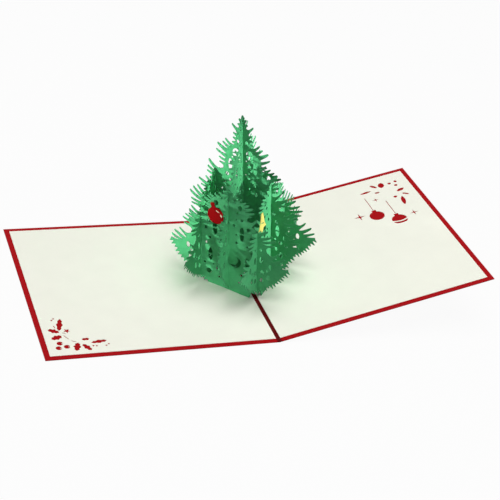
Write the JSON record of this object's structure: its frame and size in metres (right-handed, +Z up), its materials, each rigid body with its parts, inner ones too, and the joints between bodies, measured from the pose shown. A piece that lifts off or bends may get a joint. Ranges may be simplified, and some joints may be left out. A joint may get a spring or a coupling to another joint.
{
  "type": "pop up card",
  "caption": "Opened square greeting card with a folded red cover and ivory liners; a slotted lattice of cut green paper sheets stands up over the spine as a fir tree.",
  "frame": {"origin": "on the surface the card lies on, under the middle of the opened card's footprint", "axes": "+Z up from the surface, Y along the spine with -Y to the front, +X to the raised right half"},
  "size_m": [0.2952, 0.15, 0.1226],
  "materials": {
    "cover_red": "smooth matte card",
    "liner_ivory": "uncoated paper",
    "tree_green": "dyed paper with a faint pearl sheen",
    "bauble_red": "uncoated dyed paper",
    "backing_ivory": "uncoated paper",
    "bell_yellow": "uncoated dyed paper"
  },
  "bodies": {
    "root": {"cover": "cover_red", "liner_left": "liner_ivory", "liner_right": "liner_ivory", "tree_front_left": "tree_green", "tree_back_right": "tree_green", "tree_front_right": "tree_green", "tree_back_left": "tree_green", "tree_centre_lower": "tree_green", "tree_centre_upper": "tree_green", "bauble": "bauble_red", "bauble_backing": "backing_ivory", "bell": "bell_yellow"}
  },
  "joints": []
}
